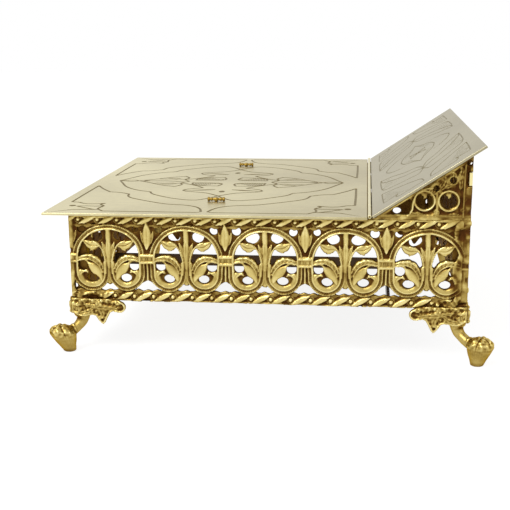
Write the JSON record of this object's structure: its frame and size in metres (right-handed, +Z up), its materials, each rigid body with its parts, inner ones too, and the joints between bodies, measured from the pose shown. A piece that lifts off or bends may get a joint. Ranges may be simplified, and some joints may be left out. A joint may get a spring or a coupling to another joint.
{
  "type": "photo album stand",
  "caption": "Openwork cast brass stand on splayed cabriole feet, with a flat engraved plate and a hinged head plate resting at a slope to carry an album.",
  "frame": {"origin": "middle of the footprint's bounding box, at the level of the foot soles", "axes": "+Z up, +X along the stand towards the hinged head plate, +Y towards the rear side panel, the hinge line runs along Y"},
  "size_m": [0.2998, 0.2984, 0.1454],
  "materials": {
    "cast_brass": "cast openwork, hand burnished highlights, dark patina in the recesses",
    "foot_brass": "cast, burnished, patina in the recesses",
    "post_brass": "dull unpolished interior brass",
    "rivet_brass": "domed and polished",
    "main_plate_brass": "pale satin polish with engraved lines",
    "head_plate_brass": "pale satin polish with engraved lines, slightly greyer",
    "hinge_brass": "drawn barrel, polished",
    "hinge_pin_brass": "plain drawn wire",
    "bar_brass": "dark brown patina",
    "catch_brass": "turned and polished, deeper gold",
    "washer_brass": "plain",
    "riser_pin_brass": "polished"
  },
  "bodies": {
    "frame": {"cross_bar": "bar_brass", "foot_front_left": "foot_brass", "foot_front_right": "foot_brass", "foot_rear_left": "foot_brass", "foot_rear_right": "foot_brass", "front_panel": "cast_brass", "front_riser": "cast_brass", "hinge_leaf_main": "hinge_brass", "hinge_pin": "hinge_pin_brass", "left_end_panel": "cast_brass", "main_plate": "main_plate_brass", "post_front_left": "post_brass", "post_front_right": "post_brass", "post_rear_left": "post_brass", "post_rear_right": "post_brass", "rear_panel": "cast_brass", "rear_riser": "cast_brass", "right_end_panel": "cast_brass", "right_end_riser": "cast_brass", "riser_pin_front": "riser_pin_brass", "riser_pin_rear": "riser_pin_brass", "rivet_left_front_high": "rivet_brass", "rivet_left_front_low": "rivet_brass", "rivet_left_rear_high": "rivet_brass", "rivet_left_rear_low": "rivet_brass", "rivet_right_front_high": "rivet_brass", "rivet_right_front_low": "rivet_brass", "rivet_right_rear_high": "rivet_brass", "rivet_right_rear_low": "rivet_brass", "tie_bar": "bar_brass"},
    "head": {"head_plate": "head_plate_brass", "hinge_leaf_head": "hinge_brass"},
    "front_catch": {"catch_front": "catch_brass", "catch_washer_front": "washer_brass"},
    "rear_catch": {"catch_rear": "catch_brass", "catch_washer_rear": "washer_brass"}
  },
  "joints": [
    {"name": "head_hinge", "type": "hinge", "parent": "frame", "child": "head", "pos_m": [0.07, 0, 0.0984], "axis": [0, -1, 0], "range_deg": [0, 146]},
    {"name": "front_catch_turn", "type": "hinge", "parent": "frame", "child": "front_catch", "pos_m": [-0.03852, -0.088, 0.098], "axis": [0, 0, 1], "range_deg": [-90, 90]},
    {"name": "rear_catch_turn", "type": "hinge", "parent": "frame", "child": "rear_catch", "pos_m": [-0.03852, 0.088, 0.098], "axis": [0, 0, 1], "range_deg": [-90, 90]}
  ]
}
